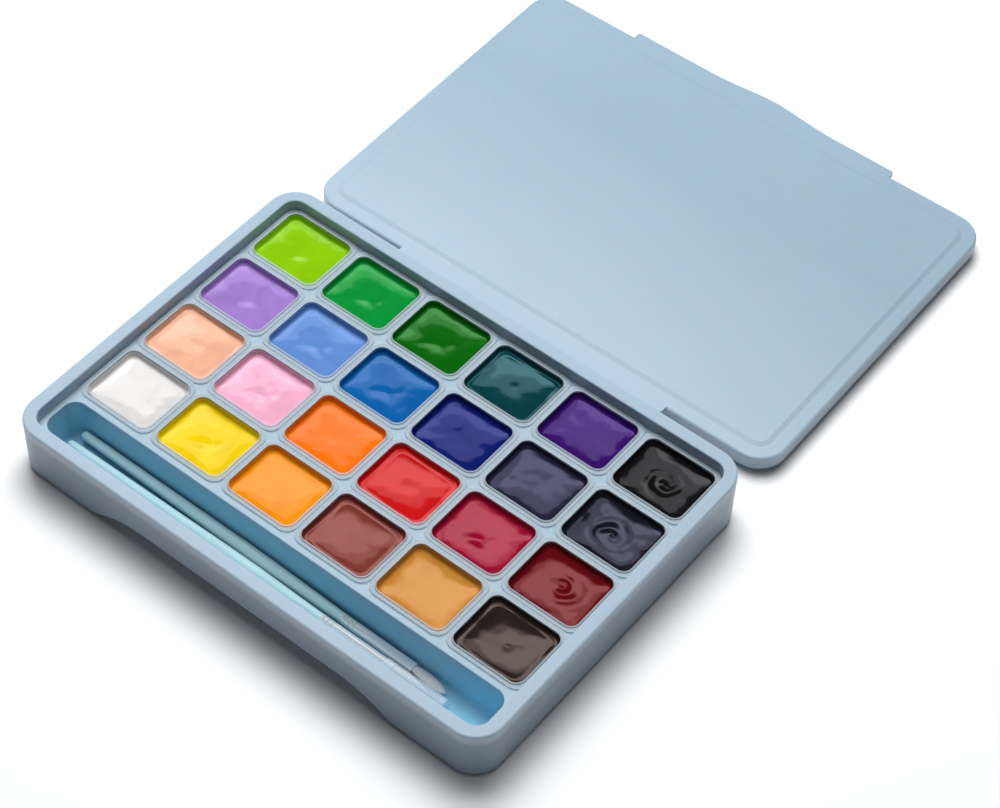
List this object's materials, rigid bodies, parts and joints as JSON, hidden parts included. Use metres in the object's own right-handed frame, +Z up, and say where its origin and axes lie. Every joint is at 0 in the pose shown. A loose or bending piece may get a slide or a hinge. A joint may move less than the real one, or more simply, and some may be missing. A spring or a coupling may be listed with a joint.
{
  "type": "gouache paint set box",
  "caption": "Pale blue plastic case of clear square cups filled with gouache, a brush trough with brushes, and a lift-off lid lying behind it.",
  "frame": {"origin": "centre of the case's underside, on the surface it stands on", "axes": "+X along the case's long side, +Y from the brush trough towards the lid, +Z up"},
  "size_m": [0.2764, 0.4077, 0.031],
  "materials": {
    "case_blue": "satin",
    "cup_clear": "gloss",
    "handle_aqua": "satin",
    "ferrule": "polished",
    "bristle": "matte",
    "sleeve_clear": "gloss",
    "paint_white": "wet gloss",
    "paint_yellow": "wet gloss",
    "paint_amber": "wet gloss",
    "paint_red_brown": "wet gloss",
    "paint_ochre": "wet gloss",
    "paint_umber": "wet gloss",
    "paint_peach": "wet gloss",
    "paint_pink": "wet gloss",
    "paint_orange": "wet gloss",
    "paint_red": "wet gloss",
    "paint_magenta": "wet gloss",
    "paint_dark_red": "wet gloss",
    "paint_lavender": "wet gloss",
    "paint_periwinkle": "wet gloss",
    "paint_blue": "wet gloss",
    "paint_ultramarine": "wet gloss",
    "paint_navy": "wet gloss",
    "paint_blue_black": "wet gloss",
    "paint_lime": "wet gloss",
    "paint_green": "wet gloss",
    "paint_dark_green": "wet gloss",
    "paint_teal": "wet gloss",
    "paint_violet": "wet gloss",
    "paint_black": "wet gloss"
  },
  "bodies": {
    "case": {"case_tub": "case_blue", "cup_tray": "case_blue"},
    "lid": {"lid": "case_blue"},
    "cup_body_1_1": {"cup_1_1": "cup_clear", "paint_1_1": "paint_white"},
    "cup_body_1_2": {"cup_1_2": "cup_clear", "paint_1_2": "paint_yellow"},
    "cup_body_1_3": {"cup_1_3": "cup_clear", "paint_1_3": "paint_amber"},
    "cup_body_1_4": {"cup_1_4": "cup_clear", "paint_1_4": "paint_red_brown"},
    "cup_body_1_5": {"cup_1_5": "cup_clear", "paint_1_5": "paint_ochre"},
    "cup_body_1_6": {"cup_1_6": "cup_clear", "paint_1_6": "paint_umber"},
    "cup_body_2_1": {"cup_2_1": "cup_clear", "paint_2_1": "paint_peach"},
    "cup_body_2_2": {"cup_2_2": "cup_clear", "paint_2_2": "paint_pink"},
    "cup_body_2_3": {"cup_2_3": "cup_clear", "paint_2_3": "paint_orange"},
    "cup_body_2_4": {"cup_2_4": "cup_clear", "paint_2_4": "paint_red"},
    "cup_body_2_5": {"cup_2_5": "cup_clear", "paint_2_5": "paint_magenta"},
    "cup_body_2_6": {"cup_2_6": "cup_clear", "paint_2_6": "paint_dark_red"},
    "cup_body_3_1": {"cup_3_1": "cup_clear", "paint_3_1": "paint_lavender"},
    "cup_body_3_2": {"cup_3_2": "cup_clear", "paint_3_2": "paint_periwinkle"},
    "cup_body_3_3": {"cup_3_3": "cup_clear", "paint_3_3": "paint_blue"},
    "cup_body_3_4": {"cup_3_4": "cup_clear", "paint_3_4": "paint_ultramarine"},
    "cup_body_3_5": {"cup_3_5": "cup_clear", "paint_3_5": "paint_navy"},
    "cup_body_3_6": {"cup_3_6": "cup_clear", "paint_3_6": "paint_blue_black"},
    "cup_body_4_1": {"cup_4_1": "cup_clear", "paint_4_1": "paint_lime"},
    "cup_body_4_2": {"cup_4_2": "cup_clear", "paint_4_2": "paint_green"},
    "cup_body_4_3": {"cup_4_3": "cup_clear", "paint_4_3": "paint_dark_green"},
    "cup_body_4_4": {"cup_4_4": "cup_clear", "paint_4_4": "paint_teal"},
    "cup_body_4_5": {"cup_4_5": "cup_clear", "paint_4_5": "paint_violet"},
    "cup_body_4_6": {"cup_4_6": "cup_clear", "paint_4_6": "paint_black"},
    "round_brush": {"round_brush_handle": "handle_aqua", "round_brush_ferrule": "ferrule", "round_brush_tuft": "bristle"},
    "flat_brush": {"flat_brush_handle": "handle_aqua", "flat_brush_ferrule": "ferrule", "flat_brush_tuft": "bristle"},
    "sleeve": {"round_brush_sleeve": "sleeve_clear"}
  },
  "joints": [
    {"name": "lid_lift", "type": "slide", "parent": "case", "child": "lid", "axis": [0, 0, 1], "range_m": [0, 0.06]},
    {"name": "cup_lift_1_1", "type": "slide", "parent": "case", "child": "cup_body_1_1", "axis": [0, 0, 1], "range_m": [0, 0.03]},
    {"name": "cup_lift_1_2", "type": "slide", "parent": "case", "child": "cup_body_1_2", "axis": [0, 0, 1], "range_m": [0, 0.03]},
    {"name": "cup_lift_1_3", "type": "slide", "parent": "case", "child": "cup_body_1_3", "axis": [0, 0, 1], "range_m": [0, 0.03]},
    {"name": "cup_lift_1_4", "type": "slide", "parent": "case", "child": "cup_body_1_4", "axis": [0, 0, 1], "range_m": [0, 0.03]},
    {"name": "cup_lift_1_5", "type": "slide", "parent": "case", "child": "cup_body_1_5", "axis": [0, 0, 1], "range_m": [0, 0.03]},
    {"name": "cup_lift_1_6", "type": "slide", "parent": "case", "child": "cup_body_1_6", "axis": [0, 0, 1], "range_m": [0, 0.03]},
    {"name": "cup_lift_2_1", "type": "slide", "parent": "case", "child": "cup_body_2_1", "axis": [0, 0, 1], "range_m": [0, 0.03]},
    {"name": "cup_lift_2_2", "type": "slide", "parent": "case", "child": "cup_body_2_2", "axis": [0, 0, 1], "range_m": [0, 0.03]},
    {"name": "cup_lift_2_3", "type": "slide", "parent": "case", "child": "cup_body_2_3", "axis": [0, 0, 1], "range_m": [0, 0.03]},
    {"name": "cup_lift_2_4", "type": "slide", "parent": "case", "child": "cup_body_2_4", "axis": [0, 0, 1], "range_m": [0, 0.03]},
    {"name": "cup_lift_2_5", "type": "slide", "parent": "case", "child": "cup_body_2_5", "axis": [0, 0, 1], "range_m": [0, 0.03]},
    {"name": "cup_lift_2_6", "type": "slide", "parent": "case", "child": "cup_body_2_6", "axis": [0, 0, 1], "range_m": [0, 0.03]},
    {"name": "cup_lift_3_1", "type": "slide", "parent": "case", "child": "cup_body_3_1", "axis": [0, 0, 1], "range_m": [0, 0.03]},
    {"name": "cup_lift_3_2", "type": "slide", "parent": "case", "child": "cup_body_3_2", "axis": [0, 0, 1], "range_m": [0, 0.03]},
    {"name": "cup_lift_3_3", "type": "slide", "parent": "case", "child": "cup_body_3_3", "axis": [0, 0, 1], "range_m": [0, 0.03]},
    {"name": "cup_lift_3_4", "type": "slide", "parent": "case", "child": "cup_body_3_4", "axis": [0, 0, 1], "range_m": [0, 0.03]},
    {"name": "cup_lift_3_5", "type": "slide", "parent": "case", "child": "cup_body_3_5", "axis": [0, 0, 1], "range_m": [0, 0.03]},
    {"name": "cup_lift_3_6", "type": "slide", "parent": "case", "child": "cup_body_3_6", "axis": [0, 0, 1], "range_m": [0, 0.03]},
    {"name": "cup_lift_4_1", "type": "slide", "parent": "case", "child": "cup_body_4_1", "axis": [0, 0, 1], "range_m": [0, 0.03]},
    {"name": "cup_lift_4_2", "type": "slide", "parent": "case", "child": "cup_body_4_2", "axis": [0, 0, 1], "range_m": [0, 0.03]},
    {"name": "cup_lift_4_3", "type": "slide", "parent": "case", "child": "cup_body_4_3", "axis": [0, 0, 1], "range_m": [0, 0.03]},
    {"name": "cup_lift_4_4", "type": "slide", "parent": "case", "child": "cup_body_4_4", "axis": [0, 0, 1], "range_m": [0, 0.03]},
    {"name": "cup_lift_4_5", "type": "slide", "parent": "case", "child": "cup_body_4_5", "axis": [0, 0, 1], "range_m": [0, 0.03]},
    {"name": "cup_lift_4_6", "type": "slide", "parent": "case", "child": "cup_body_4_6", "axis": [0, 0, 1], "range_m": [0, 0.03]},
    {"name": "round_brush_lift", "type": "slide", "parent": "case", "child": "round_brush", "axis": [0, 0, 1], "range_m": [0, 0.05]},
    {"name": "flat_brush_lift", "type": "slide", "parent": "case", "child": "flat_brush", "axis": [0, 0, 1], "range_m": [0, 0.05]},
    {"name": "sleeve_slide", "type": "slide", "parent": "round_brush", "child": "sleeve", "axis": [1, 0, 0], "range_m": [0, 0.022]}
  ]
}
